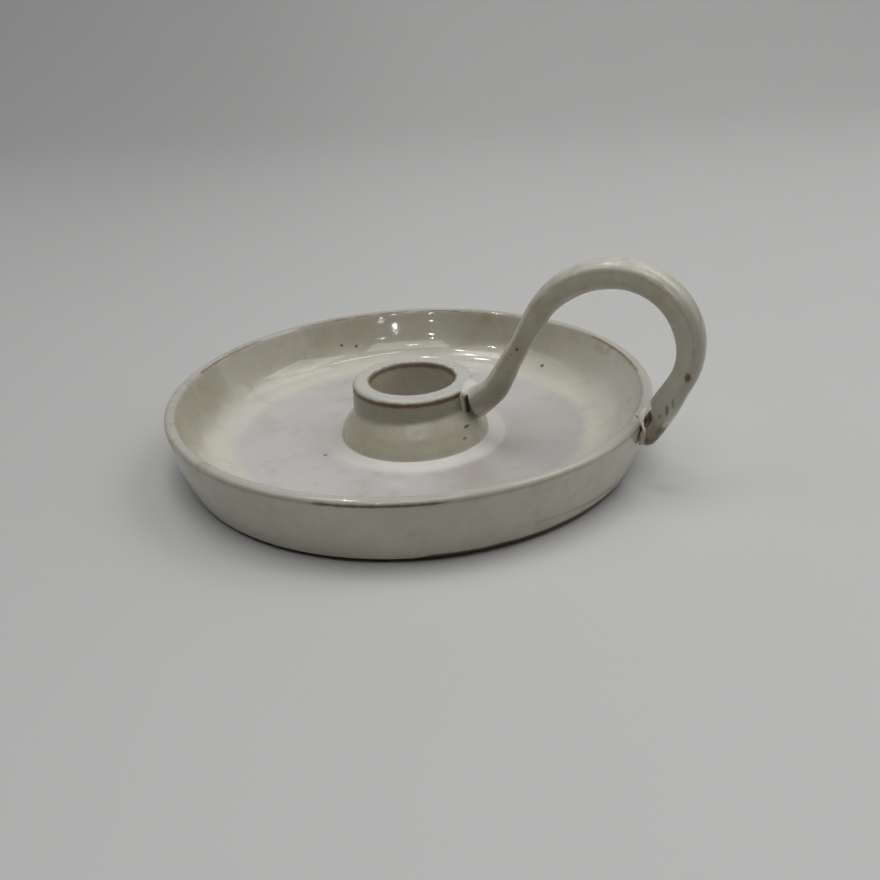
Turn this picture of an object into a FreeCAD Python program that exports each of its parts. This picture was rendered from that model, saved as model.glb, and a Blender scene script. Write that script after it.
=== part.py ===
import FreeCAD, Part
import math
import os

import Sketcher
from FreeCAD import Placement, Rotation, Vector

# Chamberstick in thrown and glazed stoneware: a shallow dish, a collar for one taper candle,
# and a hand-rolled loop that springs from the collar and comes down over the dish's lip.
# +Z is up, the loop points along +X, and the origin is the centre of the flat underside.

# Driving dimensions in millimetres and degrees: word, value, what it measures.
DIMENSIONS = [
    ("foot_radius", 60.9, "edge of the flat underside"),
    ("bevel_radius", 63.2, "foot of the outer wall, above the trimmed bevel"),
    ("bevel_height", 1.4, "height of the trimmed bevel"),
    ("rim_radius", 68.1, "outer corner of the lip before it is rounded"),
    ("rim_height", 19.7, "top of the lip before it is rounded"),
    ("wall_swell", 62.0, "radius of the outer wall's slight outward curve"),
    ("mouth_radius", 65.0, "inner corner of the lip before it is rounded"),
    ("mouth_height", 19.4, "height of that corner, as the lip leans inward"),
    ("well_radius", 57.4, "where the inner wall would meet the floor"),
    ("well_swell", 60.0, "radius of the inner wall's outward curve"),
    ("floor_height", 4.8, "thickness of the dish's floor"),
    ("lip_outer_round", 1.4, "rounding of the lip's outer corner"),
    ("lip_inner_round", 1.1, "rounding of the lip's inner corner"),
    ("cove_round", 12.0, "cove between floor and wall"),
    ("foot_round", 0.5, "wiped edge of the underside"),
    ("socket_offset", 1.3, "how far the collar sits off centre, towards the loop"),
    ("bore_radius", 12.0, "bore for a 22 mm taper candle"),
    ("socket_height", 21.5, "top of the collar"),
    ("socket_skirt_radius", 21.2, "foot of the collar's swelling skirt"),
    ("socket_land_height", 5.7, "top of the short upright land under the skirt"),
    ("socket_groove_radius", 16.2, "finger groove between skirt and band"),
    ("socket_groove_height", 12.8, "height of that groove"),
    ("socket_band_radius", 16.2, "outer corner of the collar's band"),
    ("socket_band_swell", 28.0, "radius of the band's outward curve"),
    ("socket_skirt_swell", 15.0, "radius of the skirt's outward curve"),
    ("socket_lip_round", 1.2, "rounding of the collar's outer top corner"),
    ("socket_mouth_round", 0.6, "rounding of the bore's mouth"),
    ("lute_radius", 26.0, "outer edge of the luting fillet round the collar"),
    ("lute_edge_height", 4.95, "thin outer edge of that fillet"),
    ("lute_hollow", 18.0, "radius of the fillet's hollow face"),
    ("loop_start_x", 16.7, "start of the loop's centre line, in the collar's wall"),
    ("loop_start_z", 15.0, "height of that start"),
    ("loop_start_slope", 30.8, "slope at which the loop leaves the collar"),
    ("loop_root_length", 7.9, "straight stretch at the root"),
    ("loop_knee_bend", 11.4, "radius of the bend above the root"),
    ("loop_knee_turn", 30.3, "turn of that bend"),
    ("loop_leg_length", 23.1, "straight leg above the bend"),
    ("loop_crown_bend", 25.2, "radius of the crown's first half"),
    ("loop_crown_turn", 61.1, "turn up to the level top"),
    ("loop_drop_bend", 17.9, "tighter radius on the way down"),
    ("loop_drop_turn", 117.8, "turn of that half"),
    ("loop_return_length", 12.4, "straight return towards the lip"),
    ("loop_heel_bend", 34.0, "radius of the heel that follows the outer wall"),
    ("loop_heel_turn", 14.0, "turn of the heel"),
    ("root_width", 6.8, "coil's width in the loop's own plane, at the collar"),
    ("knee_width", 6.3, "the same above the first bend"),
    ("leg_width", 5.5, "the same at the thinnest place, on the leg"),
    ("shoulder_width", 6.5, "the same where the crown begins"),
    ("crown_width", 7.6, "the same half way up the crown"),
    ("drop_width", 7.7, "the same on the way down"),
    ("return_width", 6.6, "the same at the end of the drop"),
    ("lap_width", 7.5, "the same just above the lip"),
    ("heel_width", 5.4, "the same at the heel, pressed against the wall"),
    ("tip_width", 2.8, "the same at the very tip"),
    ("root_breadth", 7.4, "coil's breadth across the loop's plane, at the collar"),
    ("leg_breadth", 6.1, "the same on the leg"),
    ("shoulder_breadth", 7.0, "the same where the crown begins"),
    ("crown_breadth", 8.0, "the same over the crown"),
    ("lap_breadth", 7.9, "the same just above the lip"),
    ("heel_breadth", 7.2, "the same at the heel"),
    ("tip_breadth", 5.0, "the same at the very tip"),
    ("pad_x", 17.5, "centre of the clay pad between collar and loop"),
    ("pad_z", 15.0, "height of that centre"),
    ("pad_depth", 3.2, "half the pad's depth"),
    ("pad_breadth", 4.7, "half the pad's breadth"),
    ("pad_rise", 6.3, "half the pad's height"),
    ("saddle_x", 67.3, "centre of the clay saddle on the lip"),
    ("saddle_z", 17.4, "height of that centre"),
    ("saddle_depth", 3.7, "half the saddle's depth"),
    ("saddle_breadth", 5.2, "half the saddle's breadth"),
    ("saddle_rise", 3.7, "half the saddle's height"),
]

SHEET = "Sizes"


def make_sheet(doc):
    """Put every driving dimension in the sheet, one row each, under its own word."""
    sheet = doc.addObject("Spreadsheet::Sheet", SHEET)
    for row, (word, value, meaning) in enumerate(DIMENSIONS, start=1):
        sheet.set(f"A{row}", word)
        sheet.set(f"B{row}", str(value))
        sheet.set(f"C{row}", meaning)
        sheet.setAlias(f"B{row}", word)
    doc.recompute()
    return sheet


def bind(target, prop, expression):
    """Tie one property of an object to the sheet."""
    target.setExpression(prop, expression)


def cell(word):
    return f"{SHEET}.{word}"


def own_plane(body, role):
    """Find one of the body's own origin planes by its role."""
    return next(item for item in body.Origin.OriginFeatures if item.Role == role)


def turned_body(doc, sheet, name, corners, swells, shift=None):
    """Revolve a profile about the upright axis.

    Each corner is a pair of words, radius and height; None stands for zero. A swell names the
    corner that an arc starts from, the word of its radius, and the side it bulges to: +1 bulges
    to the right of the walk from corner to corner.
    """
    body = doc.addObject("PartDesign::Body", name)
    sketch = body.newObject("Sketcher::SketchObject", name + "_profile")
    sketch.AttachmentSupport = [(own_plane(body, "XZ_Plane"), "")]
    sketch.MapMode = "FlatFace"
    places = [
        Vector(getattr(sheet, radius) if radius else 0, getattr(sheet, height) if height else 0, 0)
        for radius, height in corners
    ]
    count = len(corners)
    ends = []
    for index, start in enumerate(places):
        finish = places[(index + 1) % count]
        if index in swells:
            word, side = swells[index]
            ends.append(add_swell(sketch, start, finish, getattr(sheet, word), side))
            radius_at = sketch.addConstraint(Sketcher.Constraint("Radius", index, getattr(sheet, word)))
            bind(sketch, f"Constraints[{radius_at}]", cell(word))
        else:
            sketch.addGeometry(Part.LineSegment(start, finish), False)
            ends.append((1, 2))
    for index in range(count):
        follower = (index + 1) % count
        sketch.addConstraint(
            Sketcher.Constraint("Coincident", index, ends[index][1], follower, ends[follower][0])
        )
    for index, words in enumerate(corners):
        pin_corner(sketch, sheet, index, ends[index][0], words)
    turn = body.newObject("PartDesign::Revolution", name + "_turn")
    turn.Profile = sketch
    turn.ReferenceAxis = (sketch, ["V_Axis"])
    turn.Angle = 360
    if shift:
        bind(body, "Placement.Base.x", cell(shift))
    doc.recompute()
    return body


def flat_arc(sketch, centre, start, finish, leftward):
    """Add the arc that walks from start to finish round this centre; return its two end numbers.

    A sketch keeps every arc counter-clockwise, so one that is walked to the right is added
    backwards and its end numbers are swapped.
    """
    first, last = (start, finish) if leftward else (finish, start)
    angles = [math.atan2(place.y - centre.y, place.x - centre.x) for place in (first, last)]
    circle = Part.Circle(centre, Vector(0, 0, 1), (start - centre).Length)
    sketch.addGeometry(Part.ArcOfCircle(circle, *angles), False)
    return (1, 2) if leftward else (2, 1)


def add_swell(sketch, start, finish, radius, side):
    """Add a shallow arc between two corners; side +1 bulges to the right of the walk."""
    chord = finish - start
    outward = Vector(chord.y, -chord.x, 0).normalize() * side
    drop = math.sqrt(radius * radius - chord.Length * chord.Length / 4)
    return flat_arc(sketch, (start + finish) * 0.5 - outward * drop, start, finish, side > 0)


def pin_corner(sketch, sheet, edge, end, words):
    """Fix a corner's radius and height by the sheet, or put it on an axis where it has none."""
    for kind, word, axis in (("DistanceX", words[0], -2), ("DistanceY", words[1], -1)):
        if word:
            value = getattr(sheet, word)
            at = sketch.addConstraint(Sketcher.Constraint(kind, -1, 1, edge, end, value))
            bind(sketch, f"Constraints[{at}]", cell(word))
        else:
            sketch.addConstraint(Sketcher.Constraint("PointOnObject", edge, end, axis))


def round_edge(body, name, radius_word, radius, height, reach=0.3):
    """Round the circular edge of a turned body that runs at this radius and height."""
    base = body.Tip
    names = []
    for number, edge in enumerate(base.Shape.Edges, start=1):
        curve = edge.Curve
        if not isinstance(curve, Part.Circle):
            continue
        if abs(curve.Radius - radius) < reach and abs(curve.Center.z - height) < reach:
            names.append(f"Edge{number}")
    fillet = body.newObject("PartDesign::Fillet", name)
    fillet.Base = (base, names)
    bind(fillet, "Radius", cell(radius_word))
    body.Document.recompute()
    return fillet


def make_saucer(doc, sheet):
    """The thrown dish: flat underside, trimmed bevel, flaring wall, rounded lip and coved well."""
    body = turned_body(
        doc, sheet, "saucer",
        [
            (None, None),
            ("foot_radius", None),
            ("bevel_radius", "bevel_height"),
            ("rim_radius", "rim_height"),
            ("mouth_radius", "mouth_height"),
            ("well_radius", "floor_height"),
            (None, "floor_height"),
        ],
        {2: ("wall_swell", 1), 4: ("well_swell", -1)},
    )
    round_edge(body, "saucer_cove", "cove_round", sheet.well_radius, sheet.floor_height)
    round_edge(body, "saucer_lip_out", "lip_outer_round", sheet.rim_radius, sheet.rim_height)
    round_edge(body, "saucer_lip_in", "lip_inner_round", sheet.mouth_radius, sheet.mouth_height)
    round_edge(body, "saucer_foot", "foot_round", sheet.foot_radius, 0)
    return body


def make_socket(doc, sheet):
    """The thrown collar: swelling skirt, finger groove, upright band and open bore."""
    body = turned_body(
        doc, sheet, "candle_socket",
        [
            ("bore_radius", "floor_height"),
            ("socket_skirt_radius", "floor_height"),
            ("socket_skirt_radius", "socket_land_height"),
            ("socket_groove_radius", "socket_groove_height"),
            ("socket_band_radius", "socket_height"),
            ("bore_radius", "socket_height"),
        ],
        {2: ("socket_skirt_swell", 1), 3: ("socket_band_swell", 1)},
        shift="socket_offset",
    )
    round_edge(body, "socket_lip_out", "socket_lip_round", sheet.socket_band_radius, sheet.socket_height)
    round_edge(body, "socket_lip_in", "socket_mouth_round", sheet.bore_radius, sheet.socket_height)
    return body


def make_lute(doc, sheet):
    """The coil of soft clay wiped into a low hollow fillet round the collar's foot."""
    return turned_body(
        doc, sheet, "socket_lute_coil",
        [
            ("socket_skirt_radius", "floor_height"),
            ("lute_radius", "floor_height"),
            ("lute_radius", "lute_edge_height"),
            ("socket_skirt_radius", "socket_land_height"),
        ],
        {2: ("lute_hollow", -1)},
        shift="socket_offset",
    )


class Route:
    """A flat centre line of straight stretches and tangent arcs, drawn as one sketch."""

    def __init__(self, doc, sheet, name, start_words, slope_word):
        self.sheet = sheet
        self.sketch = doc.addObject("Sketcher::SketchObject", name)
        self.sketch.Placement = Placement(Vector(0, 0, 0), Rotation(Vector(1, 0, 0), 90))
        self.point = Vector(*(getattr(sheet, word) for word in start_words), 0)
        self.heading = math.radians(getattr(sheet, slope_word))
        self.start_words = start_words
        self.slope_word = slope_word
        self.last = None
        self.lengths = []
        self.backward = []

    def fix(self, kind, word, *where):
        """Add a size constraint and bind it to the sheet."""
        value = getattr(self.sheet, word)
        if kind == "Angle":
            value = math.radians(value)
        at = self.sketch.addConstraint(Sketcher.Constraint(kind, *where, value))
        unit = " * 1 deg" if kind == "Angle" else ""
        bind(self.sketch, f"Constraints[{at}]", cell(word) + unit)

    def join(self, index, first, last):
        """Start the route at its fixed point, or run on smoothly from the piece before."""
        if self.last is None:
            for kind, word in zip(("DistanceX", "DistanceY"), self.start_words):
                self.fix(kind, word, -1, 1, index, first)
            self.fix("Angle", self.slope_word, index)
        else:
            self.sketch.addConstraint(Sketcher.Constraint("Tangent", *self.last, index, first))
        self.last = (index, last)

    def run(self, word):
        """A straight stretch."""
        length = getattr(self.sheet, word)
        finish = self.point + Vector(math.cos(self.heading), math.sin(self.heading), 0) * length
        index = self.sketch.addGeometry(Part.LineSegment(self.point, finish), False)
        self.join(index, 1, 2)
        self.fix("Distance", word, index)
        self.point = finish
        self.lengths.append(length)
        self.backward.append(False)

    def bend(self, radius_word, turn_word, side):
        """A tangent arc; side +1 turns to the left, -1 to the right."""
        radius = getattr(self.sheet, radius_word)
        turn = math.radians(getattr(self.sheet, turn_word))
        left = Vector(-math.sin(self.heading), math.cos(self.heading), 0)
        centre = self.point + left * radius * side
        self.heading += turn * side
        outward = Vector(math.sin(self.heading), -math.cos(self.heading), 0) * side
        finish = centre + outward * radius
        index = self.sketch.GeometryCount
        self.join(index, *flat_arc(self.sketch, centre, self.point, finish, side > 0))
        self.fix("Radius", radius_word, index)
        self.fix("Angle", turn_word, index)
        self.point = finish
        self.lengths.append(radius * turn)
        self.backward.append(side < 0)

    def travelled(self, stretch, share):
        """Distance walked to a share of one stretch, counted from nought."""
        return sum(self.lengths[:stretch]) + self.lengths[stretch] * share

    def hang(self, oval, distance):
        """Set an oval square to the route, its long axis level and pointing along +Y."""
        stretch = 0
        while stretch + 1 < len(self.lengths) and distance > self.lengths[stretch]:
            distance -= self.lengths[stretch]
            stretch += 1
        share = min(distance / self.lengths[stretch], 1)
        oval.AttachmentSupport = [(self.sketch, f"Edge{stretch + 1}")]
        oval.MapMode = "NormalToEdge"
        oval.MapPathParameter = 1 - share if self.backward[stretch] else share
        oval.MapReversed = self.backward[stretch]
        oval.Document.recompute()
        if oval.Placement.Rotation.multVec(Vector(1, 0, 0)).y < 0:
            oval.AttachmentOffset = Placement(Vector(0, 0, 0), Rotation(Vector(0, 0, 1), 180))


def make_loop_route(doc, sheet):
    """The loop's centre line, from the collar's wall up, over and down the dish's outside."""
    route = Route(doc, sheet, "loop_route", ("loop_start_x", "loop_start_z"), "loop_start_slope")
    route.run("loop_root_length")
    route.bend("loop_knee_bend", "loop_knee_turn", 1)
    route.run("loop_leg_length")
    route.bend("loop_crown_bend", "loop_crown_turn", -1)
    route.bend("loop_drop_bend", "loop_drop_turn", -1)
    route.run("loop_return_length")
    route.bend("loop_heel_bend", "loop_heel_turn", 1)
    doc.recompute()
    return route


# Where the coil's width is known: stretch of the route, share along it, width and breadth.
COIL_STATIONS = [
    (0, 0.0, "root_width", "root_breadth"),
    (2, 0.0, "knee_width", "root_breadth"),
    (2, 0.6, "leg_width", "leg_breadth"),
    (3, 0.0, "shoulder_width", "shoulder_breadth"),
    (3, 0.5, "crown_width", "crown_breadth"),
    (4, 0.5, "drop_width", "crown_breadth"),
    (5, 0.0, "return_width", "lap_breadth"),
    (5, 0.6, "lap_width", "lap_breadth"),
    (6, 0.1, "lap_width", "lap_breadth"),
    (6, 0.65, "heel_width", "heel_breadth"),
    (6, 1.0, "tip_width", "tip_breadth"),
]
COIL_STEPS = 14


def blend(share, before, after):
    """Expression for half of a size that passes from one cell to the next."""
    eased = share * share * (3 - 2 * share)
    return f"({cell(before)} * {1 - eased:.4f} + {cell(after)} * {eased:.4f}) / 2"


def make_coil(doc, sheet):
    """The rolled coil: an oval that thins on the leg and swells over the crown."""
    route = make_loop_route(doc, sheet)
    places = [route.travelled(stretch, share) for stretch, share, _, _ in COIL_STATIONS]
    sections = []
    for step in range(COIL_STEPS + 1):
        distance = places[-1] * step / COIL_STEPS
        after = next((n for n, place in enumerate(places) if place > distance), len(places) - 1)
        share = (distance - places[after - 1]) / (places[after] - places[after - 1])
        oval = doc.addObject("Part::Ellipse", f"coil_section_{step + 1}")
        _, _, *before_words = COIL_STATIONS[after - 1]
        _, _, *after_words = COIL_STATIONS[after]
        for prop, pair in zip(("MinorRadius", "MajorRadius"), zip(before_words, after_words)):
            bind(oval, prop, blend(share, *pair))
        route.hang(oval, distance)
        sections.append(oval)
    coil = doc.addObject("Part::Loft", "rolled_coil")
    coil.Sections = sections
    coil.Solid = True
    doc.recompute()
    return coil


def make_smear(doc, name, prefix, host):
    """A thumb of soft clay, shaped like a flattened egg and fitted round the piece it sits on."""
    egg = doc.addObject("Part::Ellipsoid", name + "_clay")
    for prop, word in (("Radius1", "rise"), ("Radius2", "depth"), ("Radius3", "breadth")):
        bind(egg, prop, cell(f"{prefix}_{word}"))
    bind(egg, "Placement.Base.x", cell(prefix + "_x"))
    bind(egg, "Placement.Base.z", cell(prefix + "_z"))
    smear = doc.addObject("Part::Cut", name)
    smear.Base = egg
    smear.Tool = host
    doc.recompute()
    return smear


def make_loop(doc, coil, neighbours):
    """The finger loop: the rolled coil with its two ends fitted to what they are luted to."""
    seat = doc.addObject("Part::MultiFuse", "loop_seats")
    seat.Shapes = neighbours
    loop = doc.addObject("Part::Cut", "finger_loop")
    loop.Base = coil
    loop.Tool = seat
    doc.recompute()
    return loop


def check_objects(doc, pieces):
    """Stop if any object failed to recompute or any piece isn't one sound solid."""
    for item in doc.Objects:
        if "Invalid" in item.State or "Error" in item.State:
            raise RuntimeError(f"{item.Name} did not recompute: {item.State}")
    for piece in pieces:
        shape = piece.Shape
        if shape.isNull() or not shape.isValid() or len(shape.Solids) != 1:
            raise RuntimeError(f"{piece.Label} is not one valid solid")


def main():
    doc = FreeCAD.newDocument("chamberstick")
    sheet = make_sheet(doc)
    saucer = make_saucer(doc, sheet)
    socket = make_socket(doc, sheet)
    lute = make_lute(doc, sheet)
    pad = make_smear(doc, "socket_joint_pad", "pad", socket)
    saddle = make_smear(doc, "rim_joint_pad", "saddle", saucer)
    loop = make_loop(doc, make_coil(doc, sheet), [saucer, socket, pad, saddle])
    pieces = [saucer, socket, lute, loop, pad, saddle]
    check_objects(doc, pieces)
    os.makedirs("parts", exist_ok=True)
    for piece in pieces:
        piece.Shape.exportStep(f"parts/{piece.Label}.step")
        box = piece.Shape.optimalBoundingBox(True)
        print(f"{piece.Label}: {piece.Shape.Volume:.0f} mm3, x {box.XMin:.1f} to {box.XMax:.1f}, "
              f"y {box.YMin:.1f} to {box.YMax:.1f}, z {box.ZMin:.1f} to {box.ZMax:.1f}")


main()
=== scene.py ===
"""Looks of a thrown stoneware chamberstick: a glazed dish, a candle collar and a rolled finger loop.

Sizes are given in millimetres and degrees and turned into metres once, when a piece is finished.
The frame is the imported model's own: +Z up, the loop along +X, the origin under the dish.
"""

import logging
import math
from dataclasses import dataclass, field
from enum import Enum

import bmesh
import bpy
from mathutils import Matrix, Vector, noise


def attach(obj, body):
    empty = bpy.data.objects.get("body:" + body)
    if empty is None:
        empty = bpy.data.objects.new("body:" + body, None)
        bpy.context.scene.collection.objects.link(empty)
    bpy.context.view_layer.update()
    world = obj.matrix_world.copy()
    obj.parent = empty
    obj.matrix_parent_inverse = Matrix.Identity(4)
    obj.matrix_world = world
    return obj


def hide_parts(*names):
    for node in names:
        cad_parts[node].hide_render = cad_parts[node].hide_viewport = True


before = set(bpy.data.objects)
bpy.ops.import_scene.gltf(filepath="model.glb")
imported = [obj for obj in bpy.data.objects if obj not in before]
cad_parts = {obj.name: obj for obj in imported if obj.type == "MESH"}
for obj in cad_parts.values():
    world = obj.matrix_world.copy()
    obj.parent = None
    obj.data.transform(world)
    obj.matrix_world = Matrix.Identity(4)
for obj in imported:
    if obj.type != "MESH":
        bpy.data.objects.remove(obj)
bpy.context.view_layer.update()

LOG = logging.getLogger("chamberstick")
MM = 0.001
# Top of the dish's floor, and how far the collar's axis stands from the dish's, in millimetres
FLOOR_TOP = 4.8
COLLAR_AXIS = 1.3
# Folds sharper than this stay crisp, and a bend is drawn in steps no longer than that, in degrees
SHARP_EDGE = 42.0
ARC_STEP = 9.0
Colour = tuple[float, float, float, float]
Place = tuple[float, float, float]


def tone(red: int, green: int, blue: int) -> Colour:
    """Turn a colour as the eye reads it, 0 to 255, into the linear colour that a shader takes.

    Args:
        red: Red part.
        green: Green part.
        blue: Blue part.

    Returns:
        The linear colour with full opacity.
    """
    parts = []
    for part in (red, green, blue):
        share = part / 255
        parts.append(share / 12.92 if share <= 0.04045 else ((share + 0.055) / 1.055) ** 2.4)
    return (*parts, 1.0)


class Mark(Enum):
    """Names of the values that a mesh carries for its glaze."""

    WALK = "walk_mm"
    CROWN = "crown_side"


class Slot(Enum):
    """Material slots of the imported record."""

    DISH = "glazed_dish"
    FILLET = "glazed_fillet"
    COIL = "glazed_coil"


# Shader graphs


class Value:
    """A value that varies over a surface; every sum with it adds a node to its graph."""

    def __init__(self, graph: "Graph", socket: bpy.types.NodeSocket) -> None:
        """Keep the socket and its graph."""
        self.graph, self.socket = graph, socket

    def __add__(self, other: object) -> "Value":
        """Add a number or another value."""
        return self.graph.maths("ADD", self, other)

    def __radd__(self, other: float) -> "Value":
        """Add this to a number."""
        return self.graph.maths("ADD", other, self)

    def __sub__(self, other: object) -> "Value":
        """Take a number or another value away."""
        return self.graph.maths("SUBTRACT", self, other)

    def __rsub__(self, other: float) -> "Value":
        """Take this away from a number."""
        return self.graph.maths("SUBTRACT", other, self)

    def __mul__(self, other: object) -> "Value":
        """Multiply by a number or another value."""
        return self.graph.maths("MULTIPLY", self, other)

    def __truediv__(self, other: object) -> "Value":
        """Divide by a number or another value."""
        return self.graph.maths("DIVIDE", self, other)

    def __rtruediv__(self, other: float) -> "Value":
        """Divide a number by this."""
        return self.graph.maths("DIVIDE", other, self)

    def __abs__(self) -> "Value":
        """Drop the sign."""
        return self.graph.maths("ABSOLUTE", self)


class Graph:
    """Adds nodes to one node tree and wires them together."""

    def __init__(self, tree: bpy.types.NodeTree) -> None:
        """Keep the tree that the nodes go into."""
        self.tree = tree

    def add(self, kind: str, **settings: object) -> bpy.types.Node:
        """Add one node.

        Args:
            kind: Blender's own name of the node.
            settings: Properties of the node.

        Returns:
            The new node.
        """
        node = self.tree.nodes.new(kind)
        for name, value in settings.items():
            setattr(node, name, value)
        return node

    def feed(self, socket: bpy.types.NodeSocket, value: object) -> None:
        """Wire an input to a value, or set its own.

        Args:
            socket: The input.
            value: A value, a socket, a number, a vector or a colour.
        """
        source = value.socket if isinstance(value, Value) else value
        if isinstance(source, bpy.types.NodeSocket):
            self.tree.links.new(source, socket)
        else:
            socket.default_value = source

    def work(self, kind: str, inputs: dict, **settings: object) -> dict[object, Value]:
        """Add one node, feed it and read its results.

        Args:
            kind: Blender's own name of the node.
            inputs: What goes into each input, by name or number.
            settings: Properties of the node.

        Returns:
            The node's results, by name and by number.
        """
        node = self.add(kind, **settings)
        for label, value in inputs.items():
            self.feed(node.inputs[label], value)
        results = [Value(self, result) for result in node.outputs]
        return {result.socket.name: result for result in results} | dict(enumerate(results))

    def maths(self, operation: str, *values: object, clamp: bool = False) -> Value:
        """Do one sum on plain values, held between nought and one if clamped."""
        return self.work("ShaderNodeMath", dict(enumerate(values)), operation=operation, use_clamp=clamp)[0]

    def vectors(self, operation: str, *values: object) -> Value:
        """Do one sum on vectors."""
        return self.work("ShaderNodeVectorMath", dict(enumerate(values)), operation=operation)["Vector"]

    def scale(self, vector: Value, factor: object) -> Value:
        """Stretch a vector evenly."""
        return self.work("ShaderNodeVectorMath", {0: vector, "Scale": factor}, operation="SCALE")["Vector"]

    def length(self, vector: Value) -> Value:
        """Length of a vector."""
        return self.work("ShaderNodeVectorMath", {0: vector}, operation="LENGTH")["Value"]

    def split(self, vector: Value) -> tuple[Value, Value, Value]:
        """Read the three parts of a vector."""
        parts = self.work("ShaderNodeSeparateXYZ", {0: vector})
        return parts["X"], parts["Y"], parts["Z"]

    def reach(self, across: Value, along: Value) -> Value:
        """Distance from an upright axis, out of its two parts."""
        return self.maths("SQRT", self.maths("POWER", across, 2.0) + self.maths("POWER", along, 2.0))

    def ease(self, value: Value, low: object, high: object) -> Value:
        """Pass softly from nought at low to one at high; low may be the larger of the two."""
        inputs = {"Value": value, "From Min": low, "From Max": high}
        return self.work("ShaderNodeMapRange", inputs, interpolation_type="SMOOTHSTEP")["Result"]

    def cloud(self, vector: Value, scale: float, detail: float = 2.0, rough: float = 0.5) -> Value:
        """Soft random value between nought and one.

        Args:
            vector: Where it is read.
            scale: Lumps per unit of it.
            detail: Finer layers on top.
            rough: Strength of those layers.

        Returns:
            The value.
        """
        inputs = {"Vector": vector, "Scale": scale, "Detail": detail, "Roughness": rough}
        return self.work("ShaderNodeTexNoise", inputs)["Fac"]

    def cells(self, vector: Value, scale: object) -> dict[object, Value]:
        """Scatter cells, each with a distance from its middle and a random colour."""
        return self.work("ShaderNodeTexVoronoi", {"Vector": vector, "Scale": scale}, feature="F1")

    def blend(self, share: Value, first: object, second: object) -> Value:
        """Mix two colours, from the first at nought to the second at one."""
        return self.work("ShaderNodeMix", {0: share, 6: first, 7: second}, data_type="RGBA")[2]

    def place(self, tree: bpy.types.NodeTree, **values: object) -> dict[object, Value]:
        """Place a shared effect, give it its values and read its results."""
        return self.work("ShaderNodeGroup", values, node_tree=tree)


class SharedEffect(Graph):
    """A shader group under construction; each takes the place on the piece as its Vector."""

    def __init__(self, name: str, numbers: tuple[str, ...], vectors: tuple[str, ...] = (),
                 colours: tuple[str, ...] = (), masks: tuple[str, ...] = ("Mask",),
                 shades: tuple[str, ...] = ()) -> None:
        """Start the group and name its sockets.

        Args:
            name: Name of the group.
            numbers: Inputs that take a number.
            vectors: Inputs that take a vector.
            colours: Inputs that take a colour.
            masks: Results that are numbers.
            shades: Results that are colours.
        """
        super().__init__(bpy.data.node_groups.new(name, "ShaderNodeTree"))
        takes = {"Float": numbers, "Vector": ("Vector", *vectors), "Color": colours}
        gives = {"Float": masks, "Color": shades}
        for way, kinds in (("INPUT", takes), ("OUTPUT", gives)):
            for kind, labels in kinds.items():
                for label in labels:
                    self.tree.interface.new_socket(label, in_out=way, socket_type="NodeSocket" + kind)
        self.take = self.work("NodeGroupInput", {})

    def give(self, **results: Value) -> bpy.types.NodeTree:
        """Wire the results to the group's outputs and hand the group over."""
        self.work("NodeGroupOutput", results)
        return self.tree


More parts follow.
